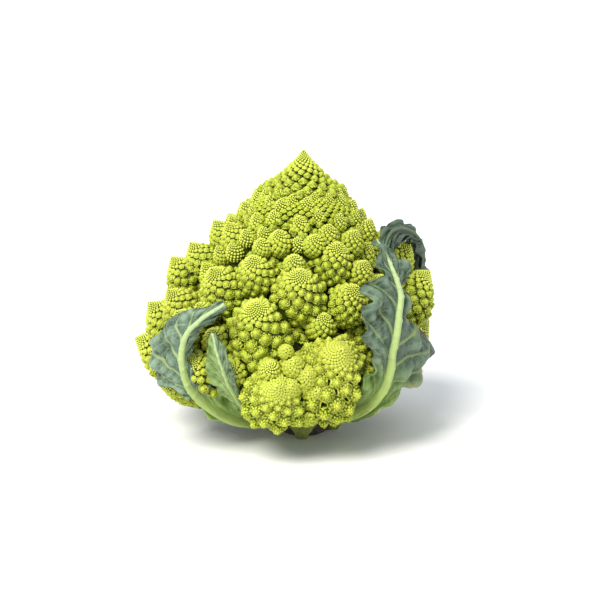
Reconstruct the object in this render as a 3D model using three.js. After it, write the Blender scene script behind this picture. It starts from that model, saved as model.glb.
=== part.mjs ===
// A romanesco head as picked: one curd of cone-shaped florets, its cut stalk and the four leaves left on it.
// Millimetres, +Z up, origin at the middle of the stalk's flat cut face. The small leaf is on the -Y side.
import * as THREE from "three";
import { ConvexHull } from "three/addons/math/ConvexHull.js";

// The whole head: a bell with its tip up, closed below by half an ellipse.
const HEAD_HEIGHT = 161;
const HEAD_RADIUS = 84;
const HEAD_DEPTH = 104; // from the tip down to the widest place
const UNDER_DEPTH = 56; // from the widest place down to where the ellipse closes
const TIP_SLIMMING = 0.12; // by how much the top is slimmer than the bell
const HEAD_LEAN = 11; // how far the wide part lies to the -X side of the tip
const LEAN_DEPTH = 100; // below the tip, the depth by which the lean is complete
const CENTRE = new THREE.Vector3(-8, 0, 62); // every point of the curd can be seen from here

// Florets. Each is a bell with its tip out, a small copy of the whole head.
const BELL_POWER = 1.5;
const BELL_DEPTH = 1.24; // from tip to widest place, in radii
const FLORET_LIFT = 0.5; // how far the florets' axes turn up from the surface's normal
const FLORET_SPACING = 0.9; // tip to tip, in sums of radii
const CAP_DEPTH = 28; // the tip of the head above this depth carries single buds
const RIM_HEIGHT = 17; // no floret's tip lies lower, and on the +X side none within the rise of this
const RIM_RISE = 18;
const CORE_SINK = 0.7; // how far the core lies below the florets' tips, in their diameters
const STEM_DEPTH = 1.2; // from a floret's widest place to where it closes, in radii
const GOLDEN_ANGLE = Math.PI * (3 - Math.sqrt(5));
const FILL = 0.87; // area that a bud covers, in squares of its diameter

// Buds on the florets, larger than life
const BUD_LEAST = 3.7;
const BUD_GROWTH = 0.24; // growth with the slant distance from the floret's tip
const BUD_HEIGHT = 0.26; // in diameters
const CAP_BUD_HEIGHT = 0.36;
const HOLLOW_DEPTH = 0.14; // below the floret's surface
const GAP_DEPTH = 0.5; // at most so far below the lowest bud round a hollow
const ROOM = 1.1; // between the curd and what is pressed against it

// Azimuth from the front (-Y) towards +X in degrees, height of the tip, radius, and how far the tip stands
// out of the head's surface
const FRONT_FLORETS = [
  [22, 68, 24, 2], [-3, 49, 21, 2], [4, 106, 16.5, 1], [-15, 91, 19.5, 0], [30, 117, 13, 1],
  [-26, 111.5, 12.5, 0], [-47.5, 103.5, 15, 0], [-66, 123, 9.5, 1], [-83, 120.5, 8.5, 3],
  [-85, 108, 11.5, 3], [-88, 98.5, 12.5, 4.5], [-83, 77, 15.5, 0], [-84, 56, 16, 0], [-69, 88, 13, 0],
  [-42, 87, 6.5, 0], [-52, 81, 13, 0], [-38, 58, 14, 0], [0, 130.5, 8, 0], [27, 126, 7, 0],
  [43, 130, 5.5, 0], [-15, 124, 7.5, 0], [14, 122, 6.5, 0], [50, 121.5, 7.5, 0], [78, 123, 7.5, 1],
  [70, 129.5, 5, 0], [-26, 119.5, 5.5, 0], [-28, 132, 6, 0], [-46, 130, 6.5, 0], [80, 133, 5, 1.5],
  [-80, 132, 6, 1.5], [34, 97, 12, 0], [46, 107, 8, 0], [22, 81, 6, 0], [1, 71, 7, 0], [87, 112, 13, 8],
  [86, 91, 16, 12.5], [74, 66, 14, -3], [27, 42, 11, 0], [12, 31, 12, 0], [-5, 24, 9, 0],
  [30, 28, 10, 0], [-60, 37, 12, 0], [-18, 63, 9, 0],
];

// Stalk
const STALK_RADIUS = 13;
const STALK_TOP_RADIUS = 21.5;
const STALK_HEIGHT = 21.6;
const STALK_GAP = 0.4;
const STALK_SIDES = 40;
const STUB_REACH = 8; // how far a trimmed leaf base stands out
const STUB_HALF_ANGLE = 0.36;
const STUB_AZIMUTHS = [-3, 92, 174, 212, 258]; // degrees, as for the florets
const STUB_FOOT = 0.85; // reach of a stub on the cut face, as a share of its reach above
const STUB_TOP = 15;
const UNDER_RADIUS = 40; // of the flat underside of the curd round the top of the stalk

// Leaves
const BLADE_HALF = 0.5; // half of the blade's thickness

const radians = (degrees) => (degrees * Math.PI) / 180;
const smooth = (low, high, x) => THREE.MathUtils.smoothstep(x, low, high);
const vary = (k) => (k * 0.6180339887) % 1;
const point = (p) => new THREE.Vector3(...p);

// Share of the full radius at a share of the full depth below the tip
function bell(depth) {
  if (depth <= 0) return 0;
  return depth >= 1 ? 1 : 1 - (1 - depth) ** BELL_POWER;
}

function headRadius(z) {
  const depth = HEAD_HEIGHT - z;
  const slimmer = 1 - TIP_SLIMMING * (1 - smooth(15, 40, depth));
  if (depth < HEAD_DEPTH) return HEAD_RADIUS * bell(depth / HEAD_DEPTH) * slimmer;
  const under = (depth - HEAD_DEPTH) / UNDER_DEPTH;
  return HEAD_RADIUS * Math.sqrt(Math.max(0, 1 - under * under));
}

const lean = (z) => -HEAD_LEAN * smooth(0, LEAN_DEPTH, HEAD_HEIGHT - z);

// Diameter of a floret at a depth below the head's tip
function floretSize(depth) {
  const slant = Math.max(0, depth) * Math.SQRT2;
  return Math.min(slant * (0.15 + 0.25 * smooth(25, 75, slant)), 40);
}

// A floret with its tip so far out of the head's surface
function floretAt(azimuth, z, radius, out) {
  const step = 0.5;
  const slope = (headRadius(z + step) - headRadius(z - step)) / (2 * step);
  const outward = new THREE.Vector3(Math.sin(azimuth), -Math.cos(azimuth), 0);
  const normal = outward.clone().setZ(-slope).normalize();
  const tip = outward.multiplyScalar(headRadius(z)).add(new THREE.Vector3(lean(z), 0, z));
  const axis = normal.clone().setZ(normal.z + FLORET_LIFT).normalize();
  tip.addScaledVector(normal, out);
  return { tip, axis, radius };
}

// Places on a bell, each with its depth, its angle and the diameter there, a golden angle apart
function spiral(radiusAt, from, to, sizeAt, fill = FILL) {
  const places = [];
  const step = 0.01;
  for (let depth = from, k = 0; depth < to; k++) {
    const radius = Math.max(radiusAt(depth), step);
    const slope = (radiusAt(depth + step) - radiusAt(depth)) / step;
    const size = sizeAt(depth);
    places.push({ depth, angle: k * GOLDEN_ANGLE, size });
    depth += (fill * size * size) / (2 * Math.PI * radius * Math.hypot(1, slope));
  }
  return places;
}

// The florets below the cap: those at the front by hand, the rest in the first free places of a dense spiral,
// and then small ones in the places left between
function florets() {
  const all = FRONT_FLORETS.map(([azimuth, z, radius, out]) => floretAt(radians(azimuth), z, radius, out));
  const deepest = HEAD_HEIGHT - RIM_HEIGHT;
  const passes = [
    { share: 1, sunk: 0 },
    { share: 0.68, sunk: 0.45 },
    { share: 0.5, sunk: 0.9 },
  ];
  for (const { share, sunk } of passes) {
    const places = spiral((depth) => headRadius(HEAD_HEIGHT - depth), CAP_DEPTH, deepest, floretSize, 0.02);
    places.forEach(({ depth, angle, size }, k) => {
      const radius = (size / 2) * share * (0.88 + 0.24 * vary(k));
      const floret = floretAt(angle, HEAD_HEIGHT - depth, radius, -sunk * radius);
      const rim = RIM_HEIGHT + RIM_RISE * Math.max(0, Math.sin(angle));
      const clear = (f) => f.tip.distanceTo(floret.tip) > FLORET_SPACING * (f.radius + radius);
      const free = HEAD_HEIGHT - depth > rim && all.every(clear);
      if (free) all.push(floret);
    });
  }
  return all;
}

function insideCore(p) {
  return Math.hypot(p.x - lean(p.z), p.y) < headRadius(p.z) - CORE_SINK * floretSize(HEAD_HEIGHT - p.z);
}

function insideFloret(p, { tip, axis, radius }) {
  const below = tip.clone().sub(p);
  const depth = below.dot(axis) / radius;
  const stem = (depth - BELL_DEPTH) / STEM_DEPTH;
  if (depth < 0 || stem > 1) return false;
  const across = Math.sqrt(Math.max(0, below.lengthSq() / (radius * radius) - depth * depth));
  return across < (stem < 0 ? bell(depth / BELL_DEPTH) : Math.sqrt(1 - stem * stem));
}

// Distance from the centre to the outermost surface of core and florets, along a direction
function surfaceDistance(direction, all) {
  const ray = new THREE.Ray(CENTRE, direction);
  const near = all.filter((f) => ray.distanceToPoint(f.tip) < 2.6 * f.radius);
  const inside = (t) => {
    const p = ray.at(t, new THREE.Vector3());
    return insideCore(p) || near.some((f) => insideFloret(p, f));
  };
  const stride = 1.5;
  let outer = 125;
  while (outer > stride && !inside(outer)) outer -= stride;
  let inner = outer;
  outer += stride;
  for (let k = 0; k < 8; k++) {
    const middle = (inner + outer) / 2;
    if (inside(middle)) inner = middle;
    else outer = middle;
  }
  return inner;
}

// Two directions square to an axis
function sideways(axis) {
  const first = new THREE.Vector3(0, 0, 1).cross(axis);
  if (first.lengthSq() < 1e-6) first.set(1, 0, 0);
  first.normalize();
  return [first, axis.clone().cross(first)];
}

// Tips of the buds on one floret
function budsOf({ tip, axis, radius }, index) {
  const [first, second] = sideways(axis);
  const full = BELL_DEPTH * radius;
  const radiusAt = (depth) => radius * bell(depth / full);
  const sizeAt = (depth) => BUD_LEAST + BUD_GROWTH * Math.hypot(depth, radiusAt(depth));
  const buds = [{ at: tip.clone(), size: BUD_LEAST }];
  for (const { depth, angle, size } of spiral(radiusAt, 0.09 * radius + 1.1, 0.96 * full, sizeAt)) {
    const turn = angle + index;
    const out = first.clone().multiplyScalar(Math.cos(turn)).addScaledVector(second, Math.sin(turn));
    const slope = (radiusAt(depth + 0.01) - radiusAt(depth)) / 0.01;
    const normal = out.clone().addScaledVector(axis, slope).normalize();
    const at = tip.clone().addScaledVector(axis, -depth).addScaledVector(out, radiusAt(depth));
    buds.push({ at: at.addScaledVector(normal, BUD_HEIGHT * size), size });
  }
  return buds;
}

// Buds that grow straight on the tip of the head
function capBuds() {
  const radiusAt = (depth) => headRadius(HEAD_HEIGHT - depth);
  const buds = [{ at: new THREE.Vector3(0, 0, HEAD_HEIGHT), size: BUD_LEAST }];
  const sizeAt = (depth) => Math.max(BUD_LEAST, floretSize(depth));
  for (const { depth, angle, size } of spiral(radiusAt, 2.2, CAP_DEPTH, sizeAt)) {
    const { tip, axis } = floretAt(angle, HEAD_HEIGHT - depth, size / 2, 0);
    buds.push({ at: tip.addScaledVector(axis, CAP_BUD_HEIGHT * size), size });
  }
  return buds;
}

// Every bud that shows: outside the other florets, not behind one, and clear of the buds already taken
function shownBuds(all) {
  const shown = [];
  const take = (bud, own) => {
    const reach = bud.at.distanceTo(CENTRE);
    const direction = bud.at.clone().sub(CENTRE).divideScalar(reach);
    if (all.some((f) => f !== own && insideFloret(bud.at, f))) return;
    const close = (b) => b.direction.distanceTo(direction) * reach < 0.5 * Math.min(b.size, bud.size);
    if (shown.some(close)) return;
    if (surfaceDistance(direction, all) > reach + 0.5) return;
    shown.push({ direction, reach, size: bud.size });
  };
  underBuds().forEach((bud) => {
    const reach = bud.at.distanceTo(CENTRE);
    shown.push({ direction: bud.at.clone().sub(CENTRE).divideScalar(reach), reach, size: bud.size });
  });
  all.forEach((floret, index) => budsOf(floret, index).forEach((bud) => take(bud, floret)));
  capBuds().forEach((bud) => take(bud, null));
  return shown;
}

// Triangles between directions, from the hull that their ends on a unit sphere have
function trianglesBetween(directions) {
  const points = directions.map((d) => d.clone());
  const numbers = new Map(points.map((p, k) => [p, k]));
  return new ConvexHull().setFromPoints(points).faces.map((face) => {
    const corners = [0, 1, 2].map((k) => numbers.get(face.getEdge(k).head().point));
    return corners;
  });
}

// The distance from the centre to the flat underside round the top of the stalk
function underDistance(direction) {
  if (direction.z >= 0) return Infinity;
  const distance = (STALK_HEIGHT + STALK_GAP - CENTRE.z) / direction.z;
  const foot = CENTRE.clone().addScaledVector(direction, distance);
  return Math.hypot(foot.x, foot.y) < UNDER_RADIUS ? distance : Infinity;
}

// The least distance from the centre at which a direction meets a stalk or a leaf, less some room
function freeDistance(direction, obstacles) {
  const ray = new THREE.Ray(CENTRE, direction);
  const hit = new THREE.Vector3();
  let least = underDistance(direction) + ROOM;
  for (const { sphere, corners } of obstacles) {
    if (!ray.intersectsSphere(sphere)) continue;
    for (const [a, b, c] of corners) {
      if (ray.intersectTriangle(a, b, c, false, hit)) least = Math.min(least, hit.distanceTo(CENTRE));
    }
  }
  return least - ROOM;
}

// Distances from the centre to the curd's corners, drawn in until the stalk and the leaves have room: first so
// that no corner and no edge lies in or behind them, then so that no face has a point of them in or behind it
function drawnIn(ends, faces, obstacles) {
  const reaches = ends.map(({ direction, reach }) => Math.min(reach, freeDistance(direction, obstacles)));
  const corner = (k) => ends[k].direction.clone().multiplyScalar(reaches[k]);
  faces.forEach((p, k) => {
    const q = faces[k % 3 === 2 ? k - 2 : k + 1];
    for (const share of p < q ? [0.25, 0.5, 0.75] : []) {
      const at = corner(p).lerp(corner(q), share);
      const pressed = freeDistance(at.clone().normalize(), obstacles) / at.length();
      if (pressed < 1) [p, q].forEach((n) => (reaches[n] *= pressed));
    }
  });
  const samples = obstacles.flatMap(({ corners }) => {
    return corners.flatMap(([a, b, c]) => {
      const middle = a.clone().add(b).add(c).divideScalar(3);
      return [a, a.clone().lerp(b, 0.5), b.clone().lerp(c, 0.5), c.clone().lerp(a, 0.5), middle];
    });
  });
  const targets = samples.map((p) => {
    const away = p.clone().sub(CENTRE);
    return { direction: away.clone().normalize(), free: away.length() - ROOM };
  });
  for (let k = 0; k < faces.length; k += 3) {
    const [p, q, r] = [0, 1, 2].map((n) => ends[faces[k + n]].direction);
    const limits = [[p, q], [q, r], [r, p]].map(([from, to]) => from.clone().cross(to));
    const cone = 1.1 * Math.max(p.distanceTo(q), q.distanceTo(r), r.distanceTo(p)) ** 2;
    for (const { direction, free } of targets) {
      if (direction.distanceToSquared(p) > cone || limits.some((n) => n.dot(direction) < -1e-3)) continue;
      const [a, b, c] = [0, 1, 2].map((n) => corner(faces[k + n]));
      const normal = b.sub(a).cross(c.sub(a));
      const meets = normal.dot(a) / normal.dot(direction);
      if (meets <= free) continue;
      for (let n = 0; n < 3; n++) reaches[faces[k + n]] *= free / meets;
    }
  }
  return reaches;
}

// Places on the flat underside, round the top of the stalk
function underBuds() {
  const z = STALK_HEIGHT + STALK_GAP;
  return spiral((depth) => depth, 2, UNDER_RADIUS, () => 8).map(({ depth, angle, size }) => {
    return { at: new THREE.Vector3(depth * Math.sin(angle), -depth * Math.cos(angle), z), size };
  });
}

// The curd: a pyramid on every bud, whose base corners are the hollows between three buds
function curd(obstacles) {
  const all = florets();
  const buds = shownBuds(all);
  const triangles = trianglesBetween(buds.map((b) => b.direction));
  const hollows = triangles.map((corners) => {
    const three = corners.map((k) => buds[k]);
    const direction = three.reduce((sum, b) => sum.add(b.direction), new THREE.Vector3()).normalize();
    const size = three.reduce((sum, b) => sum + b.size, 0) / 3;
    const surface = surfaceDistance(direction, all) - HOLLOW_DEPTH * size;
    return { direction, reach: Math.max(surface, Math.min(...three.map((b) => b.reach)) - GAP_DEPTH * size) };
  });
  const ends = [...buds, ...hollows];

  const across = new Map();
  triangles.forEach((corners, k) => {
    corners.forEach((a, n) => across.set(`${a},${corners[(n + 1) % 3]}`, buds.length + k));
  });
  const turnsLeft = (a, b, c) => {
    const [p, q, r] = [a, b, c].map((k) => ends[k].direction);
    return q.clone().sub(p).cross(r.clone().sub(p)).dot(p) > 1e-7;
  };
  const faces = [];
  triangles.forEach((corners, k) => {
    const here = buds.length + k;
    corners.forEach((a, n) => {
      const b = corners[(n + 1) % 3];
      const there = across.get(`${b},${a}`);
      if (turnsLeft(a, there, here) && turnsLeft(b, here, there)) faces.push(a, there, here);
      else faces.push(a, b, here);
    });
  });
  const reaches = drawnIn(ends, faces, obstacles);
  const corners = ends.map(({ direction }, k) => CENTRE.clone().addScaledVector(direction, reaches[k]));
  return solid(corners.flatMap((p) => p.toArray()), faces);
}

// A closed geometry from flat position and index lists, turned right side out
function solid(positions, faces) {
  const geometry = new THREE.BufferGeometry();
  geometry.setAttribute("position", new THREE.Float32BufferAttribute(positions, 3));
  const corner = (k) => new THREE.Vector3().fromArray(positions, 3 * k);
  let volume = 0;
  for (let k = 0; k < faces.length; k += 3) {
    volume += corner(faces[k]).dot(corner(faces[k + 1]).cross(corner(faces[k + 2])));
  }
  geometry.setIndex(volume < 0 ? [...faces].reverse() : faces);
  geometry.computeVertexNormals();
  return geometry;
}

// The stalk: rings from the cut face up, with the bases of trimmed leaves standing out of it
function stalk() {
  const heights = [0, 1.2, 5, 9, 12.5, 16, 19, STALK_HEIGHT];
  const positions = [];
  for (const z of heights) {
    const body = THREE.MathUtils.lerp(STALK_RADIUS, STALK_TOP_RADIUS, z / STALK_HEIGHT);
    const foot = THREE.MathUtils.lerp(STUB_FOOT, 1, smooth(0, 1.2, z));
    const rise = foot * (1 - smooth(STUB_TOP - 4, STUB_TOP + 4, z));
    for (let k = 0; k < STALK_SIDES; k++) {
      const turn = (2 * Math.PI * k) / STALK_SIDES;
      let radius = body * (1 + 0.02 * Math.sin(3 * turn + 1));
      STUB_AZIMUTHS.forEach((azimuth) => {
        const aside = turn - radians(azimuth);
        const away = Math.abs(Math.atan2(Math.sin(aside), Math.cos(aside)));
        radius += STUB_REACH * rise * (1 - smooth(0.45 * STUB_HALF_ANGLE, STUB_HALF_ANGLE, away));
      });
      positions.push(radius * Math.sin(turn), -radius * Math.cos(turn), z);
    }
  }
  // The cut face has a triangle in its middle, and the top a single point.
  const last = (heights.length - 1) * STALK_SIDES;
  const middle = last + STALK_SIDES;
  for (const turn of [60, 180, 300].map(radians)) {
    positions.push(0.6 * STALK_RADIUS * Math.sin(turn), -0.6 * STALK_RADIUS * Math.cos(turn), 0);
  }
  positions.push(0, 0, STALK_HEIGHT);
  const faces = [middle, middle + 2, middle + 1];
  for (let k = 0; k < STALK_SIDES; k++) {
    const next = (k + 1) % STALK_SIDES;
    for (let low = 0; low < last; low += STALK_SIDES) {
      const high = low + STALK_SIDES;
      faces.push(low + k, low + next, high + next, low + k, high + next, high + k);
    }
    const [here, there] = [k, next].map((n) => middle + Math.floor((3 * n) / STALK_SIDES));
    faces.push(here, next, k);
    if (there !== here) faces.push(here, there, next);
    faces.push(middle + 3, last + k, last + next);
  }
  return solid(positions, faces);
}

// A leaf. Its stations each give a point of the rib, of its left edge and of its right edge, from the stalk to
// the tip. The rib stands out of the face that the leaf turns away from the head.
function leaf({ stations, along, across, ribHalf, ribHeight, bulge, wave, waves, teeth, tooth }) {
  const [rib, left, right] = [0, 1, 2].map((k) => {
    return new THREE.CatmullRomCurve3(stations.map((s) => point(s[k])), false, "catmullrom", 0.5);
  });
  const columns = [];
  for (const side of [-1, 1]) {
    const shares = [0.5, 1].map((a) => ({ side, rib: a, blade: 0 }));
    for (let k = 1; k <= across; k++) shares.push({ side, rib: 1, blade: k / across });
    if (side < 0) columns.push(...shares.reverse(), { side: 1, rib: 0, blade: 0 });
    else columns.push(...shares);
  }
  const middle = [];
  const lifts = [];
  for (let row = 0; row <= along; row++) {
    const t = row / along;
    const at = rib.getPoint(t);
    const forward = rib.getTangent(t);
    const out = right.getPoint(t).sub(left.getPoint(t)).cross(forward).normalize();
    const half = THREE.MathUtils.lerp(ribHalf[0], ribHalf[1], t);
    const height = THREE.MathUtils.lerp(ribHeight[0], ribHeight[1], t);
    for (const column of columns) {
      const edge = (column.side < 0 ? left : right).getPoint(t).sub(at);
      const width = edge.length();
      const foot = Math.min(0.85, half / width);
      const a = foot * column.rib + (1 - foot) * column.blade;
      const cut = 1 + tooth * (Math.abs(((t * teeth) % 1) - 0.5) - 0.25) * a ** 3 * smooth(0.1, 0.4, t);
      const ripple = wave * Math.sin(2 * Math.PI * waves * t + 1.6 * column.side + 2 * a);
      const rise = column.blade * (4 * bulge * (1 - column.blade) * width + ripple * smooth(0.15, 0.4, t));
      middle.push(at.clone().addScaledVector(edge, a * cut).addScaledVector(out, rise));
      lifts.push({ out: Math.cos((Math.PI / 2) * column.rib) * height, half: BLADE_HALF });
    }
  }
  return wrapped(middle, lifts, columns.length);
}

// A closed solid round a sheet of points, thickened along its normals
function wrapped(middle, lifts, width) {
  const rows = middle.length / width;
  const at = (row, k) => middle[THREE.MathUtils.clamp(row, 0, rows - 1) * width + k];
  const outer = [];
  const inner = [];
  middle.forEach((p, n) => {
    const [row, k] = [Math.floor(n / width), n % width];
    const along = at(row + 1, k).clone().sub(at(row - 1, k));
    const over = at(row, Math.min(k + 1, width - 1)).clone().sub(at(row, Math.max(k - 1, 0)));
    const normal = over.cross(along).normalize();
    const { out, half } = lifts[n];
    outer.push(...p.clone().addScaledVector(normal, half + out).toArray());
    inner.push(...p.clone().addScaledVector(normal, -half - 0.45 * out).toArray());
  });
  const faces = [];
  const count = middle.length;
  for (let row = 0; row < rows - 1; row++) {
    for (let k = 0; k < width - 1; k++) {
      const [a, d] = [row * width + k, (row + 1) * width + k];
      const [b, c] = [a + 1, d + 1];
      faces.push(a, b, c, a, c, d, count + a, count + c, count + b, count + a, count + d, count + c);
    }
  }
  const rim = [];
  for (let k = 0; k < width; k++) rim.push(k);
  for (let row = 1; row < rows; row++) rim.push(row * width + width - 1);
  for (let k = width - 2; k >= 0; k--) rim.push((rows - 1) * width + k);
  for (let row = rows - 2; row > 0; row--) rim.push(row * width);
  rim.forEach((a, n) => {
    const b = rim[(n + 1) % rim.length];
    faces.push(a, count + a, count + b, a, count + b, b);
  });
  return solid([...outer, ...inner], faces);
}

// Each row: rib, left edge, right edge, looking at the outer face with the tip up
const RIGHT_LEAF = {
  stations: [
    [[16.5, -14.2, 12], [13, -18.5, 12.5], [20.5, -9.5, 11]],
    [[23, -30, 17], [18, -34, 21], [28, -28, 13]],
    [[35, -50, 29], [26, -56, 37], [38, -48, 24]],
    [[42, -60, 41], [32, -68, 47], [48, -54, 34]],
    [[45, -66, 53], [36, -73, 57], [60, -46, 39]],
    [[46, -69, 65], [33, -80, 69], [69, -38, 51]],
    [[48, -70, 75], [31, -82, 79], [69, -36, 61]],
    [[49, -69, 85], [31, -82, 90], [58, -50, 76]],
    [[50, -67, 94], [30, -80, 100], [53, -58, 89]],
    [[48, -64, 102], [35, -72, 104], [55, -54, 100]],
    [[45, -60, 109], [35, -68, 112], [54, -50, 107]],
    [[42, -57, 115], [35, -62, 117], [48, -52, 113]],
    [[38, -54, 121], [36.5, -55.5, 121.4], [39.3, -52.5, 121]],
  ],
  along: 30, across: 3, ribHalf: [4.6, 0.9], ribHeight: [4.6, 0.6],
  bulge: 0.06, wave: 2.2, waves: 5, teeth: 9, tooth: 0.45,
};
const LEFT_LEAF = {
  stations: [
    [[-17.6, -12.4, 11], [-20, -8, 9.5], [-14.5, -16.5, 12.5]],
    [[-26, -20, 11], [-28, -16, 7.5], [-25, -25, 15]],
    [[-37, -34, 16], [-39.5, -30.5, 12.5], [-34, -40, 24]],
    [[-48, -46, 25], [-51, -43, 21.5], [-43, -50, 33]],
    [[-57, -55, 36], [-60.5, -51.5, 34], [-51, -58, 42]],
    [[-61, -60, 43], [-68, -53, 38], [-55, -62, 46]],
    [[-63, -64, 51], [-81, -45, 43], [-58, -65, 53]],
    [[-64, -68, 59], [-84, -44, 51], [-60, -67, 60]],
    [[-63.5, -70, 67], [-83, -46, 61], [-60, -69, 66]],
    [[-61, -72, 75], [-78, -52, 72], [-57.5, -70, 72]],
    [[-57, -73, 80], [-67, -60, 83], [-54, -71, 77]],
    [[-50, -74, 86], [-57, -66, 88], [-47, -72, 82.5]],
    [[-41, -72, 91], [-42, -70.4, 92], [-40, -72, 89.6]],
  ],
  along: 28, across: 3, ribHalf: [4.8, 0.9], ribHeight: [4.6, 0.6],
  bulge: 0.05, wave: 1.6, waves: 4, teeth: 8, tooth: 0.4,
};
const SMALL_LEAF = {
  stations: [
    [[-10.8, -20.4, 14], [-13, -19.2, 14], [-8.6, -21.6, 14.5]],
    [[-22, -38, 15.5], [-25, -37, 15.5], [-19.5, -39, 17]],
    [[-31, -52, 27], [-36, -52, 30], [-28, -53, 27]],
    [[-39, -68, 45], [-47, -65, 44], [-35, -69, 46]],
    [[-42, -76, 56], [-51, -72, 56], [-37, -76, 57]],
    [[-45, -80, 67], [-50, -76, 68], [-41, -79, 69]],
    [[-47, -81, 78], [-48, -80, 78], [-46, -80.6, 78]],
  ],
  along: 18, across: 2, ribHalf: [2, 0.6], ribHeight: [2, 0.5],
  bulge: -0.04, wave: 0.8, waves: 3, teeth: 7, tooth: 0.3,
};
const BACK_LEAF = {
  stations: [
    [[16.2, 14.6, 12], [19.5, 10.5, 12], [12.5, 18.4, 12]],
    [[35, 31, 13], [39, 25, 15], [31, 36, 14]],
    [[50, 47, 27], [57, 37, 30], [41, 55, 28]],
    [[62, 48, 49], [71, 28, 52], [44, 67, 48]],
    [[65, 40, 68], [71, 19, 72], [47, 62, 66]],
    [[67, 28, 86], [67, 10, 90], [52, 50, 84]],
    [[67, 20, 98], [64, 6, 102], [58, 38, 97]],
    [[64.5, 11, 107], [60, -1, 109], [60, 27, 108]],
    [[59, 0, 114.5], [55, -9, 112.5], [57, 12, 117]],
    [[52, -14, 119], [50, -22, 114], [48, -6, 121]],
    [[46, -27, 118], [46, -34, 111.5], [41.5, -22, 120.5]],
    [[43, -38, 110.5], [44.1, -38.8, 109.8], [41.9, -37.6, 111.5]],
  ],
  along: 26, across: 2, ribHalf: [4.2, 0.8], ribHeight: [4, 0.5],
  bulge: 0.05, wave: 1.8, waves: 5, teeth: 9, tooth: 0.4,
};

// Leaves are made first, because the curd is pressed back where they lie against it.
const LEAF_NODES = [
  ["leaf_right", RIGHT_LEAF],
  ["leaf_left", LEFT_LEAF],
  ["leaf_small", SMALL_LEAF],
  ["leaf_back", BACK_LEAF],
];

function obstacle(geometry) {
  const place = geometry.getAttribute("position");
  const index = geometry.getIndex();
  const corners = [];
  for (let k = 0; k < index.count; k += 3) {
    corners.push([0, 1, 2].map((n) => new THREE.Vector3().fromBufferAttribute(place, index.getX(k + n))));
  }
  geometry.computeBoundingSphere();
  return { sphere: geometry.boundingSphere, corners };
}

const romanesco = new THREE.Group();

function add(name, geometry, color, roughness) {
  const mesh = new THREE.Mesh(geometry, new THREE.MeshStandardMaterial({ color, roughness, metalness: 0 }));
  mesh.name = name;
  romanesco.add(mesh);
}

const stalkShape = stalk();
const leafShapes = LEAF_NODES.map(([name, shape]) => [name, leaf(shape)]);
add("stalk", stalkShape, 0xa9b878, 0.6);
leafShapes.forEach(([name, geometry]) => add(name, geometry, 0x86a583, 0.55));
add("curd", curd([stalkShape, ...leafShapes.map(([, geometry]) => geometry)].map(obstacle)), 0xc3d052, 0.65);

export default romanesco;
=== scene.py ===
import math

import bpy
import numpy as np
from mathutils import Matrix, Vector, bvhtree, geometry


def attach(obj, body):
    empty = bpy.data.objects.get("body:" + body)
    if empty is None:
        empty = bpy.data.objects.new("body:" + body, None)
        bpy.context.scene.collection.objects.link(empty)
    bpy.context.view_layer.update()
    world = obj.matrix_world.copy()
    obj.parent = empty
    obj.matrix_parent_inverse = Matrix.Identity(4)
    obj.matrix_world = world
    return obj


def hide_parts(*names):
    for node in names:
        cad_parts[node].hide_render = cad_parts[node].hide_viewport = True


# A romanesco head: a curd of florets on florets, its stalk and four leaves. Everything is worked out in
# millimetres, +Z up, with the camera on the -Y side, and becomes metres when a mesh is made.
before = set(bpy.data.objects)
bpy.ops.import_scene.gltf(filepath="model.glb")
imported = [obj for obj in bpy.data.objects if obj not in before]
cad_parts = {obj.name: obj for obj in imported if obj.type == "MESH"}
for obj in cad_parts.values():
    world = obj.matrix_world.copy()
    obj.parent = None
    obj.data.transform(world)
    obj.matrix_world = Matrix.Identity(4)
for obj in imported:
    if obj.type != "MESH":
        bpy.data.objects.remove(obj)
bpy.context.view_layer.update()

MM = 0.001
GOLDEN_ANGLE = math.pi * (3 - math.sqrt(5))
GOLDEN_SHARE = 0.6180339887  # multiples of it, less their whole part, are spread evenly from 0 to 1
PLASTIC_SHARE = 0.7548776662  # so are multiples of this, in another order

# The head and its florets, as in the solid but for the slimmer tip and a few florets in front
HEAD_HEIGHT = 161
HEAD_RADIUS = 84
HEAD_DEPTH = 104  # from the tip down to the widest place
UNDER_DEPTH = 56  # from the widest place down to where the ellipse closes
TIP_SLIMMING = 0.12  # the share by which the top is slimmer than the bell
TIP_PINCH = 0.2  # more of the same close to the tip, in the scene alone
HEAD_LEAN = 11  # how far the wide part lies to the -X side of the tip
LEAN_DEPTH = 100  # below the tip, the depth by which the lean is complete
CENTRE = np.array([-8.0, 0.0, 62.0])  # buds behind a leaf are drawn in towards it
BELL_POWER = 1.5
BELL_DEPTH = 1.24  # from tip to widest place, in radii
FLORET_LIFT = 0.5  # how far the florets' axes turn up from the surface's normal
FLORET_SPACING = 0.9  # least distance from tip to tip, in sums of radii
FLORET_ROUNDS = ((1, 0), (0.68, 0.45), (0.5, 0.9))  # size, and how far the florets are sunk, in radii
CAP_DEPTH = 28  # below the tip, where the spiral of florets begins
RIM_HEIGHT = 17  # no floret of the spiral has its tip lower
RIM_RISE = 18  # by how much that limit is higher on the +X side
CORE_SINK = 0.7  # how far the core lies below the florets' tips, in their diameters
STEM_DEPTH = 1.2  # from a floret's widest place to where it closes, in radii
FILL = 0.87  # area that a bud covers, in squares of its diameter
STALK_RADIUS = 13
STALK_TOP_RADIUS = 21.5
STALK_HEIGHT = 21.6
STUB_REACH = 8  # how far a trimmed leaf base stands out
STUB_AZIMUTHS = (-3, 92, 174, 212, 258)  # degrees, as for the florets

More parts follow.
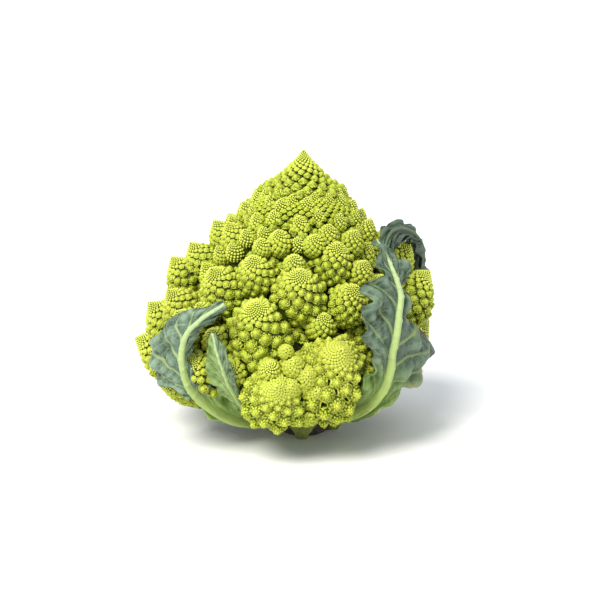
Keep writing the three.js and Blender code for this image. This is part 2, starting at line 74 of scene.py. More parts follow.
# Azimuth from the front towards +X in degrees, height of the tip, radius, and how far the tip stands out of
# the head's surface
FRONT_FLORETS = [
    [22, 68, 24, 2], [-2, 51.5, 22.5, 2.5], [4, 106, 16.5, 1], [-15, 91, 19.5, 0], [30, 117, 13, 1],
    [-26, 111.5, 12.5, 0], [-47.5, 103.5, 15, 0], [-66, 123, 9.5, 1], [-83, 120.5, 8.5, 3],
    [-85, 108, 11.5, 3], [-88, 98.5, 12.5, 4.5], [-83, 77, 15.5, 0], [-84, 56, 16, 0], [-69, 88, 13, 0],
    [-42, 87, 6.5, 0], [-52, 81, 13, 0], [-38, 58, 14, 0], [0, 130.5, 8, 0], [27, 126, 7, 0],
    [43, 130, 5.5, 0], [-15, 124, 7.5, 0], [14, 122, 6.5, 0], [50, 121.5, 7.5, 0], [78, 123, 7.5, 1],
    [70, 129.5, 5, 0], [-26, 119.5, 5.5, 0], [-28, 132, 6, 0], [-46, 130, 6.5, 0], [80, 133, 5, 1.5],
    [-80, 132, 6, 1.5], [34, 97, 12, 0], [46, 107, 8, 0], [19, 88, 8.5, -9.5], [1, 70.5, 4, 0],
    [87, 112, 13, 8], [86, 88, 16, 11], [74, 66, 14, -3], [27, 42, 11, 0], [12, 31, 12, 0],
    [-9, 25.5, 8, 0], [30, 28, 10, 0], [-60, 37, 12, 0], [-13.5, 81, 18.5, -7], [4, 64, 6, 0],
    [35, 47, 8, 0], [86, 103, 9, 9], [3, 51, 6, 1], [-5, 62, 6, 0], [0, 113, 6, 0],
    [9, 57, 6.5, 0], [13, 47, 7, 0], [19, 46, 7.5, 0], [105, 103, 9, 8],
]
# Those with pointed buds, by their places in the list
SPIKY_FLORETS = (0, 1, 33, 37, 38, 39, 40, 43, 44, 46, 49, 50, 51)

# Buds on a floret
LEAST_BUD = 1.25  # diameter of the smallest
SPIKY_LEAST_BUD = 1.3 * LEAST_BUD
BUD_SHARE = 0.4  # largest bud, in radii of its floret
BUDS_BELOW = 0.8  # how far they go on below the widest place, in radii of the floret
# How far a bud's tip stands out and its radius, both as shares of its size, and how far its axis turns up
ROUND_HABIT = (0.2, 0.54, 0.45)
SPIKY_HABIT = (0.4, 0.63, 0.05)
CAP_LIFT = 0.45
COLLAR = (20, 32)  # depths between which small florets close the ring below the cap
COLLAR_SPACING = 0.75  # as FLORET_SPACING
GAP_BUD_DEPTH = 145  # down to here, buds on the head itself close the gaps between florets
GAP_BUD_SINK = 0.6  # how far those are sunk into the head at most, in diameters of a floret

# What is left out or drawn in, since it is hidden or has no room
NEIGHBOUR_REACH = 2.6  # from tip to tip, in sums of radii: only florets this near hide each other's buds
HIDDEN_SHARE = 0.9  # of a neighbour's size: buds' corners further in than this can't be seen
OWN_HIDDEN_SHARE = 0.84  # the same for the floret that they grow on
BEHIND_LEAF = 0.35  # how far behind a leaf a bud's tip has to be, in its radii
BESIDE_LEAF = 0.8  # the same for a leaf beside it
LEAF_ROOM = 0.5  # added to the first of these
FARTHEST_SHIFT = 8  # buds that would have to be drawn in further are left out
FARTHEST_CORE_SHIFT = 12  # the same for the plain bell inside a floret
BARE_SHARE = 0.9  # size of that bell, as a share of the floret's
FLAT_UNDERSIDE = 19.5  # no bud lies lower
STALK_ROOM = (40, 23)  # within this radius no bud lies below this height

SECTORS = 5  # pieces that the florets are shared out to, so that none is too large


def smooth(low, high, x):
    """0 up to low, 1 from high on, and a smooth rise between."""
    t = np.clip((x - low) / (high - low), 0, 1)
    return t * t * (3 - 2 * t)


def unit(v):
    return v / np.linalg.norm(v, axis=-1, keepdims=True)


def bell(depth):
    """Radius of the bell, from 0 at its tip to 1 at depth 1."""
    return 1 - (1 - np.clip(depth, 0, 1)) ** BELL_POWER


def head_radius(z):
    """Radius of the head at this height."""
    depth = HEAD_HEIGHT - np.asarray(z, float)
    slimmer = 1 - TIP_SLIMMING * (1 - smooth(15, 40, depth)) - TIP_PINCH * (1 - smooth(13, 24, depth))
    under = np.clip((depth - HEAD_DEPTH) / UNDER_DEPTH, 0, 1)
    return np.where(depth < HEAD_DEPTH, HEAD_RADIUS * bell(depth / HEAD_DEPTH) * slimmer,
                    HEAD_RADIUS * np.sqrt(1 - under * under))


def radius_below_tip(depth):
    return head_radius(HEAD_HEIGHT - depth)


def lean(z):
    """How far the middle of the head lies towards +X at this height."""
    return -HEAD_LEAN * smooth(0, LEAN_DEPTH, HEAD_HEIGHT - z)


def floret_size(depth):
    """Diameter of a floret of the spiral at this depth below the head's tip."""
    slant = np.maximum(0, depth) * math.sqrt(2)
    return np.minimum(slant * (0.15 + 0.25 * smooth(25, 75, slant)), 40)


def bud_size(slant, scale=1.0):
    """Diameter of a bud at this slant distance from the tip, on a head that is scaled down."""
    return slant * (0.18 + 0.2 * smooth(28, 60, slant / scale))


def cap_bud_size(depth):
    """Diameter of a bud that grows straight on the head's tip."""
    wider = 1.15 + 0.22 * smooth(4, 10, depth) * (1 - smooth(18, 21, depth))
    return max(1.1, wider * float(bud_size(depth * math.sqrt(2))))


def gap_bud_size(depth):
    """Diameter of a bud that grows straight on the head in a gap between florets."""
    return min(max(2.6, 0.45 * float(floret_size(depth))), 7)


def floret_at(azimuth, z, radius, out):
    """Tip, axis and radius of a floret on the head."""
    step = 0.5
    slope = float(head_radius(z + step) - head_radius(z - step)) / (2 * step)
    outward = np.array([math.sin(azimuth), -math.cos(azimuth), 0])
    normal = unit(outward + [0, 0, -slope])
    tip = outward * float(head_radius(z)) + [float(lean(z)), 0, z] + normal * out
    return tip, unit(normal + [0, 0, FLORET_LIFT]), radius


def spiral(radius_at, start, end, size_at, fill=FILL):
    """Depth, azimuth and size of places a golden angle apart, down a surface of revolution."""
    places = []
    step = 0.01
    depth = start
    while depth < end:
        radius = max(float(radius_at(depth)), step)
        slope = float(radius_at(depth + step) - radius_at(depth)) / step
        size = float(size_at(depth))
        places.append((depth, len(places) * GOLDEN_ANGLE, size))
        depth += fill * size * size / (2 * math.pi * radius * math.hypot(1, slope))
    return places


def florets(trial_fill=0.02):
    """Those of the front, those of the spiral that have room between them, and small ones below the cap.

    The spiral tries far more places than have room, since trial_fill is the area that it leaves for each.
    """
    found = [floret_at(math.radians(a), z, r, out) for a, z, r, out in FRONT_FLORETS]
    tips = [f[0] for f in found]
    sizes = [f[2] for f in found]
    for share, sunk in FLORET_ROUNDS:
        places = spiral(radius_below_tip, CAP_DEPTH, HEAD_HEIGHT - RIM_HEIGHT, floret_size, trial_fill)
        for k, (depth, angle, size) in enumerate(places):
            if HEAD_HEIGHT - depth <= RIM_HEIGHT + RIM_RISE * max(0, math.sin(angle)):
                continue
            radius = size / 2 * share * (0.88 + 0.24 * ((k * GOLDEN_SHARE) % 1))
            floret = floret_at(angle, HEAD_HEIGHT - depth, radius, -sunk * radius)
            tip = floret[0]
            apart = np.linalg.norm(np.array(tips) - tip, axis=1)
            if (apart > FLORET_SPACING * (np.array(sizes) + radius)).all():
                found.append(floret)
                tips.append(tip)
                sizes.append(radius)
    for depth, angle, size in spiral(radius_below_tip, *COLLAR, cap_bud_size):
        tip, axis, radius = floret_at(angle, HEAD_HEIGHT - depth, 0.56 * size, 0.2 * size)
        apart = np.linalg.norm(np.array(tips) - tip, axis=1)
        if (apart > COLLAR_SPACING * (np.array(sizes) + radius)).all():
            found.append((tip, unit(axis + [0, 0, CAP_LIFT]), radius))
            tips.append(tip)
            sizes.append(radius)
    return found


def in_core(p, sink):
    """Whether points lie inside the head, by more than this share of a floret's diameter."""
    free = head_radius(p[:, 2]) - sink * floret_size(HEAD_HEIGHT - p[:, 2])
    return np.hypot(p[:, 0] - lean(p[:, 2]), p[:, 1]) < free


def in_floret(p, floret, share=1.0):
    """Whether points lie in the bell and stem of a floret, made that much smaller round its middle."""
    tip, axis, radius = floret
    tip = tip - axis * ((1 - share) * radius)
    radius = share * radius
    below = tip - p
    depth = below @ axis / radius
    stem = (depth - BELL_DEPTH) / STEM_DEPTH
    across = np.sqrt(np.maximum(0, (below ** 2).sum(1) / radius ** 2 - depth ** 2))
    wide = np.where(stem < 0, bell(depth / BELL_DEPTH), np.sqrt(np.clip(1 - stem * stem, 0, 1)))
    return (depth > 0) & (stem < 1) & (across < wide)


def across_axis(axis):
    """Two directions at right angles to the axis and to each other."""
    first = np.cross([0, 0, 1.0], axis)
    if first @ first < 1e-6:
        first = np.array([1.0, 0, 0])
    first = unit(first)
    return first, np.cross(axis, first)


# Buds ready to be copied: vertices, triangles, and a value that is 1 on a bead and 0 between beads

def beaded_bell(power, size_at, height, dent, rim_sides, least=0.12):
    """A bell one unit in radius with its tip at the origin, covered in a spiral of beads.

    One bead is at the tip, and the others begin at the depth least. They stand out by height, and the dents
    between them go in by dent, both as shares of a bead's size.
    """
    step = 0.01

    def profile(depth):
        return 1 - (1 - np.clip(depth / BELL_DEPTH, 0, 1)) ** power

    depths = np.linspace(0, 1, 400) ** 1.5 * BELL_DEPTH
    arcs = np.concatenate([[0], np.cumsum(np.hypot(np.diff(depths), np.diff(profile(depths))))])

    def to_surface(arc, angle):
        depth = np.interp(arc, arcs, depths)
        radius = profile(depth)
        slope = (profile(depth + step) - radius) / step
        out = np.array([np.cos(angle), np.sin(angle), 0])
        return out * radius - [0, 0, depth], unit(out + [0, 0, slope])

    places = spiral(profile, least, 1.02, size_at)
    flat = [(0.0, 0.0, size_at(0))] + [(np.interp(d, depths, arcs), a, s) for d, a, s in places]
    verts, beads = [], []
    for arc, angle, size in flat:
        at, normal = to_surface(arc, angle)
        verts.append(at + normal * height * size)
        beads.append(1.0)
    rim = [(arcs[-1], 2 * math.pi * k / rim_sides) for k in range(rim_sides)]
    tucked_in = [0.66, 0.66, 1.08]
    for arc, angle in rim:
        verts.append(to_surface(arc, angle)[0] * tucked_in)
        beads.append(0.0)
    # Triangles between the beads come from the bell rolled out flat, and each gets a dent in its middle.
    # Every edge between two dented triangles is turned, so that it runs from dent to dent.
    plane = [Vector((arc * math.cos(a), arc * math.sin(a))) for arc, a, _ in flat]
    plane += [Vector((arc * math.cos(a), arc * math.sin(a))) for arc, a in rim]
    triangles = geometry.delaunay_2d_cdt(plane, [], [], 0, 1e-6)[2]
    hollow = {}
    for k, tri in enumerate(triangles):
        if max(tri) >= len(flat):
            continue
        middle = sum((plane[n] for n in tri), Vector((0, 0))) / 3
        size = sum(flat[n][2] for n in tri) / 3
        at, normal = to_surface(middle.length, math.atan2(middle.y, middle.x))
        hollow[k] = len(verts)
        verts.append(at - normal * dent * size)
        beads.append(0.0)
    across = {}
    for k, tri in enumerate(triangles):
        for n in range(3):
            across[tri[n], tri[(n + 1) % 3]] = k
    faces = []
    for k, tri in enumerate(triangles):
        if k not in hollow:
            faces.append(tuple(tri))
            continue
        for n in range(3):
            a, b = tri[n], tri[(n + 1) % 3]
            other = hollow.get(across.get((b, a)))
            faces.append((a, b, hollow[k]) if other is None else (a, other, hollow[k]))
    return np.array(verts), np.array(faces), np.array(beads)


def plain_dome(sides=7, slimness=0.88, rings=((0.4, 0.9), (1.15, 0.25))):
    """The same without beads for the smallest: a tip and rings of corners, by depth and value, the value
    darkening lower rings as painted shade.
    """
    verts, beads = [(0, 0, 0)], [1.0]
    for row, (depth, bead) in enumerate(rings):
        for k in range(sides):
            turn = 2 * math.pi * (k + 0.5 * (row == 0)) / sides
            radius = slimness * float(bell(depth / BELL_DEPTH))
            verts.append((radius * math.cos(turn), radius * math.sin(turn), -depth))
            beads.append(bead)
    faces = []
    for k in range(sides):
        n = (k + 1) % sides
        faces += [(0, 1 + k, 1 + n), (1 + k, 1 + sides + k, 1 + sides + n), (1 + k, 1 + sides + n, 1 + n)]
    return np.array(verts), np.array(faces), np.array(beads)


ROUND_BUDS = [  # least radius in millimetres, shape
    (2.7, beaded_bell(1.4, lambda d: 0.19 + 0.27 * d, 0.38, 0.16, 14)),
    (1.8, beaded_bell(1.4, lambda d: 0.29 + 0.28 * d, 0.38, 0.16, 12)),
    (1.15, beaded_bell(1.4, lambda d: 0.44 + 0.27 * d, 0.34, 0.14, 9, 0.2)),
    (0, plain_dome()),
]
CAP_BUDS = [
    (2.2, beaded_bell(1.2, lambda d: 0.15 + 0.22 * d, 0.4, 0.16, 16)),
    *ROUND_BUDS[1:],
]
SPIKY_BUDS = [
    (2.2, beaded_bell(1.06, lambda d: 0.19 + 0.24 * d, 0.44, 0.16, 14)),
    (1.5, beaded_bell(1.06, lambda d: 0.29 + 0.26 * d, 0.44, 0.16, 12)),
    (0.9, beaded_bell(1.06, lambda d: 0.47 + 0.24 * d, 0.36, 0.14, 9, 0.2)),
    (0, plain_dome()),
]


def buds_on(floret, index):
    """Tips, axes, radii, and how far down the floret each bud sits, also below its widest place."""
    tip, axis, radius = floret
    spiky = index in SPIKY_FLORETS
    stand, girth, lift = SPIKY_HABIT if spiky else ROUND_HABIT
    first, second = across_axis(axis)
    full = BELL_DEPTH * radius
    least = min(SPIKY_LEAST_BUD if spiky else LEAST_BUD, BUD_SHARE * radius)
    step = 0.01

    def radius_at(depth):
        stem = np.clip((depth - full) / (STEM_DEPTH * radius), 0, 1)
        return radius * bell(depth / full) * np.sqrt(1 - stem * stem)

    def size_at(depth):
        slant = np.hypot(depth, radius_at(depth))
        return min(max(least, bud_size(slant, radius / HEAD_RADIUS)), BUD_SHARE * radius)

    buds = [(tip, axis, 0.55 * least, 0.0)]
    for depth, angle, size in spiral(radius_at, 0.35 * least, full + BUDS_BELOW * radius, size_at):
        turn = angle + index
        out = first * math.cos(turn) + second * math.sin(turn)
        slope = float(radius_at(depth + step) - radius_at(depth)) / step
        normal = unit(out + axis * slope)
        at = tip - axis * depth + out * float(radius_at(depth)) + normal * stand * size
        buds.append((at, unit(normal + axis * lift), girth * size, depth / full))
    return buds


def head_buds(start, end, size_at, sunk=0.0):
    """Buds straight on the head between two depths, sunk into it by up to that share of a floret."""
    buds = []
    for depth, angle, size in spiral(radius_below_tip, start, end, size_at):
        below = sunk * float((0.55 + 0.45 * smooth(25, 42, depth)) * floret_size(depth))
        out = (0.26 + 0.14 * smooth(5, 12, depth)) * size - below
        tip, axis, _ = floret_at(angle, HEAD_HEIGHT - depth, size / 2, out)
        buds.append((tip, unit(axis + [0, 0, CAP_LIFT]), 0.58 * size, min(1, depth / CAP_DEPTH)))
    return buds


def all_head_buds():
    """The topmost bud, those round it, and those between the florets."""
    topmost = (np.array([0, 0, HEAD_HEIGHT]), np.array([0, 0, 1.0]), 1.0, 0.0)
    round_it = head_buds(0.4, COLLAR[0] + 2, cap_bud_size)
    return [topmost, *round_it, *head_buds(COLLAR[0], GAP_BUD_DEPTH, gap_bud_size, GAP_BUD_SINK)]


# Meshes

def mesh_object(name, verts, faces, material, smooth_shaded=True, **values):
    """An object from places in millimetres, with an attribute for each further value."""
    mesh = bpy.data.meshes.new(name)
    verts = np.asarray(verts, np.float32) * MM
    faces = np.asarray(faces, np.int32)
    mesh.vertices.add(len(verts))
    mesh.vertices.foreach_set("co", verts.ravel())
    mesh.loops.add(faces.size)
    mesh.loops.foreach_set("vertex_index", faces.ravel())
    mesh.polygons.add(len(faces))
    mesh.polygons.foreach_set("loop_start", np.arange(0, faces.size, faces.shape[1], dtype=np.int32))
    mesh.polygons.foreach_set("use_smooth", np.full(len(faces), smooth_shaded))
    for key, value in values.items():
        mesh.attributes.new(key, "FLOAT", "POINT").data.foreach_set("value", np.asarray(value, np.float32))
    mesh.update(calc_edges=True)
    mesh.validate()
    mesh.materials.append(material)
    piece = bpy.data.objects.new(name, mesh)
    bpy.context.collection.objects.link(piece)
    return piece


def join(parts):
    """One vertex array, face array and value table from (verts, faces, values) of several."""
    offsets = np.cumsum([0] + [len(p[0]) for p in parts[:-1]])
    verts = np.concatenate([p[0] for p in parts])
    faces = np.concatenate([p[1] + o for p, o in zip(parts, offsets)])
    values = {key: np.concatenate([p[2][key] for p in parts]) for key in parts[0][2]}
    return verts, faces, values


def grow(buds, shapes, tone):
    """A mesh of one shape at each bud, by its size, with the values that the curd's material reads."""
    tips = np.array([b[0] for b in buds])
    axes = np.array([b[1] for b in buds])
    radii = np.array([b[2] for b in buds])
    downs = np.array([b[3] for b in buds])
    tones = 0.6 * tone + 0.4 * (np.arange(len(buds)) * PLASTIC_SHARE % 1)
    parts = []
    over = np.inf
    for least, (verts, faces, beads) in shapes:
        some = (radii >= least) & (radii < over)
        over = least
        count = int(some.sum())
        if not count:
            continue
        w = axes[some]
        u = unit(np.cross(np.where(np.abs(w[:, 2:]) < 0.9, [[0, 0, 1.0]], [[1.0, 0, 0]]), w))
        v = np.cross(w, u)
        turn = np.nonzero(some)[0] * 2.4  # no two neighbours lie alike
        c, s = np.cos(turn)[:, None], np.sin(turn)[:, None]
        u, v = u * c + v * s, v * c - u * s
        size = radii[some][:, None, None]
        x, y, z = (verts[None, :, n:n + 1] for n in range(3))
        placed = tips[some][:, None] + size * (x * u[:, None] + y * v[:, None] + z * w[:, None])
        moved = faces[None] + (np.arange(count) * len(verts))[:, None, None]
        values = {"bead": np.tile(beads, count), "low": np.tile(-verts[:, 2] / BELL_DEPTH, count),
                  "grain": np.repeat(smooth(1.6, 2.8, radii[some]), len(verts)),
                  "tone": np.repeat(tones[some], len(verts)), "down": np.repeat(downs[some], len(verts))}
        parts.append((placed.reshape(-1, 3), moved.reshape(-1, 3), values))
    return join(parts)


def turned_profile(points, sides, origin, axis):
    """A surface of revolution round an axis, from pairs of radius and depth below its origin."""
    first, second = across_axis(axis)
    turn = 2 * np.pi * np.arange(sides) / sides
    ring = np.cos(turn)[:, None] * first + np.sin(turn)[:, None] * second
    verts = np.concatenate([origin - axis * depth + ring * radius for radius, depth in points])
    k = np.arange(sides)
    n = (k + 1) % sides
    faces = []
    for row in range(len(points) - 1):
        a, b = row * sides, (row + 1) * sides
        faces += [np.stack([a + k, b + k, b + n], 1), np.stack([a + k, b + n, a + n], 1)]
    return verts, np.concatenate(faces)


# Leaves

def curve(points, t):
    """Points of a smooth curve through the stations, with equal shares of t between them."""
    points = np.asarray(points, float)
    padded = np.concatenate([[2 * points[0] - points[1]], points, [2 * points[-1] - points[-2]]])
    place = np.clip(t, 0, 1) * (len(points) - 1)
    k = np.minimum(place.astype(int), len(points) - 2)
    w = (place - k)[:, None]
    p0, p1, p2, p3 = (padded[k + n] for n in range(4))
    m1, m2 = 0.5 * (p2 - p0), 0.5 * (p3 - p1)
    return (2 * w ** 3 - 3 * w ** 2 + 1) * p1 + (w ** 3 - 2 * w ** 2 + w) * m1 \
        + (3 * w ** 2 - 2 * w ** 3) * p2 + (w ** 3 - w ** 2) * m2


def waves(along, across, seed, length):
    """An uneven ripple, about one high, of about this wavelength."""
    total = 0
    for k in range(4):
        turn = seed + 2.4 * k
        way = along * math.cos(turn) + across * math.sin(turn)
        total = total + np.sin(2 * math.pi / length * (0.8 + 0.13 * k) * way + 1.7 * k + seed)
    return total / 2


def serration(along, seed, length, steep=0.3):
    """Saw teeth of uneven lengths, from -0.5 to 0.5, that lean towards the tip of the leaf."""
    phase = (along / length + 0.3 * np.sin(along / length * 1.9 + seed) + seed) % 1
    return np.where(phase < 1 - steep, phase / (1 - steep), (1 - phase) / steep) - 0.5


def leaf_sheet(shape, rib_columns=7):
    """Middle surface of a leaf as a grid of points, the height of its veins, and values for its colour."""
    rows, columns = shape["grid"]
    t = np.linspace(0, 1, rows)
    stations = np.array(shape["stations"], float)
    rib, left, right = (curve(stations[:, k], t) for k in range(3))
    forward = unit(np.gradient(rib, axis=0))
    out = unit(np.cross(right - left, forward))[:, None]
    half, height = (a + (b - a) * t ** 0.8 for a, b in (shape["rib_half"], shape["rib_height"]))
    along = np.concatenate([[0], np.cumsum(np.linalg.norm(np.diff(rib, axis=0), axis=1))])[:, None]
    rib_share = np.concatenate([np.linspace(0, 1, rib_columns), np.ones(columns)])[None]
    blade = np.concatenate([np.zeros(rib_columns), np.linspace(0, 1, columns + 1)[1:]])[None]
    grown = smooth(0.08, 0.3, t)[:, None]  # the stem is smooth, and the blade comes to its full relief
    parts = []
    for side, tips, outline in ((-1, left, shape["left"]), (1, right, shape["right"])):
        seed = shape["seed"] + 3.1 * side
        edge = tips - rib
        width = np.linalg.norm(edge, axis=1)[:, None]
        foot = np.minimum(0.85, half[:, None] / width)
        teeth = shape["tooth"] * serration(along, seed, 9.5) + 0.4 * serration(along, seed + 1, 3.1)
        toothed = 1 + 1.26 * teeth / (width + 6) * blade ** 3 * grown
        reach = np.interp(t, *zip(*outline))[:, None] * toothed
        across = foot * rib_share + (1 - foot) * blade * reach
        flat = blade * reach * width
        # Side veins leave the rib one after another and turn towards the tip, and the blade swells between.
        bend = blade ** 0.8 * shape["vein_slope"] + 0.012 * np.sin(along / 7 + seed)
        phase = (t[:, None] - bend) * shape["veins"] + 0.45 * (side > 0)
        gap = along[-1] / shape["veins"]
        off = np.abs((phase + 0.5) % 1 - 0.5) * gap
        vein = np.exp(-(off / (1.15 - 0.5 * blade)) ** 2) * (1 - 0.5 * blade) * grown
        twig = np.abs((phase * 2 + blade * reach * width / 5 + 0.5) % 1 - 0.5) * gap * 0.5
        twig = np.exp(-(twig / 0.38) ** 2) * smooth(0.1, 0.35, blade) * (1 - 0.5 * blade) * grown
        swell = -np.cos(2 * np.pi * phase) * smooth(0, 0.35, blade) * (1 - 0.5 * blade) * grown
        crumple = waves(along, flat, seed, 17) * smooth(0, 0.6, blade) * grown
        ruffle = waves(along, 0 * flat, seed + 2, 11) * blade ** 2.5 * grown
        fine = waves(along, flat, seed + 5, 5.5) * smooth(0, 0.5, blade) * grown
        rise = 4 * shape["bulge"] * blade * (1 - blade) * width + shape["quilt"] * swell \
            + shape["crumple"] * crumple + shape["ruffle"] * ruffle + 0.28 * fine
        grid = rib[:, None] + edge[:, None] * across[..., None] + out * rise[..., None]
        ribbed = 1 - smooth(0.8, 1, rib_share + blade * width / (half[:, None] + 1) * 0.6)
        dry = smooth(0.7, 0.95, blade) * np.interp(t, *zip(*shape["dry"]))[:, None] * (side > 0)
        # Pale fresh tissue near the stalk is the leaf's own colour; on the small leaf the paler left half and
        # the darker right half are painted light and shade
        young_and_lit = np.maximum(1 - smooth(0.25, 0.42, t[:, None]), shape["young_and_lit"][side > 0]) + 0 * blade
        values = {
            "vein": np.clip(np.maximum(np.maximum(vein, 0.5 * twig), ribbed), 0, 1) * shape["vein_tone"],
            # Painted shade and light: this value darkens the leaf in its creases and crumples and lightens it
            # on their crests
            "fold_shade": np.clip(0.5 + 0.3 * swell + 0.25 * crumple + 0.2 * fine, 0, 1),
            "dry": dry,
            "young_and_lit": young_and_lit,
            "along": t[:, None] + 0 * blade,
            # Painted shade over a whole leaf that lies in shadow, less on its rib
            "painted_dimming": shape["painted_dimming"] * (1 - ribbed * shape["vein_tone"]),
        }
        rises = np.cos(np.pi / 2 * rib_share) * height[:, None] + 0.5 * vein + 0.2 * twig
        parts.append((grid, rises, values))
    (grid_a, rise_a, value_a), (grid_b, rise_b, value_b) = parts

    def across_rib(a, b):
        return np.concatenate([a[:, :0:-1], b], 1)

    values = {key: across_rib(value_a[key], value_b[key]) for key in value_a}
    return across_rib(grid_a, grid_b), across_rib(rise_a, rise_b), values


def leaf_solid(shape):
    """The leaf as a closed body with its two faces, and inner as 1 on the face towards the curd."""
    grid, rises, values = leaf_sheet(shape)
    along = np.gradient(grid, axis=0)
    over = np.gradient(grid, axis=1)
    normal = unit(np.cross(over, along))
    half = shape["blade_half"]
    outer = grid + normal * (half + rises)[..., None]
    inner = grid - normal * (half + 0.45 * np.maximum(rises - 0.5, 0))[..., None]
    n_rows, n_cols = grid.shape[:2]
    index = np.arange(n_rows * n_cols).reshape(n_rows, n_cols)
    a, b, c, d = index[:-1, :-1], index[:-1, 1:], index[1:, 1:], index[1:, :-1]
    front = np.stack([a, b, c, d], -1).reshape(-1, 4)
    back = np.stack([d, c, b, a], -1).reshape(-1, 4) + index.size
    rim = np.concatenate([index[0, :-1], index[:-1, -1], index[-1, :0:-1], index[:0:-1, 0]])
    following = np.roll(rim, -1)
    sides = np.stack([rim, rim + index.size, following + index.size, following], -1)
    verts = np.concatenate([outer.reshape(-1, 3), inner.reshape(-1, 3)])
    values = {key: np.tile(value.ravel(), 2) for key, value in values.items()}
    values["inner"] = np.repeat([0.0, 1.0], index.size)
    return verts, np.concatenate([front, back, sides]), values
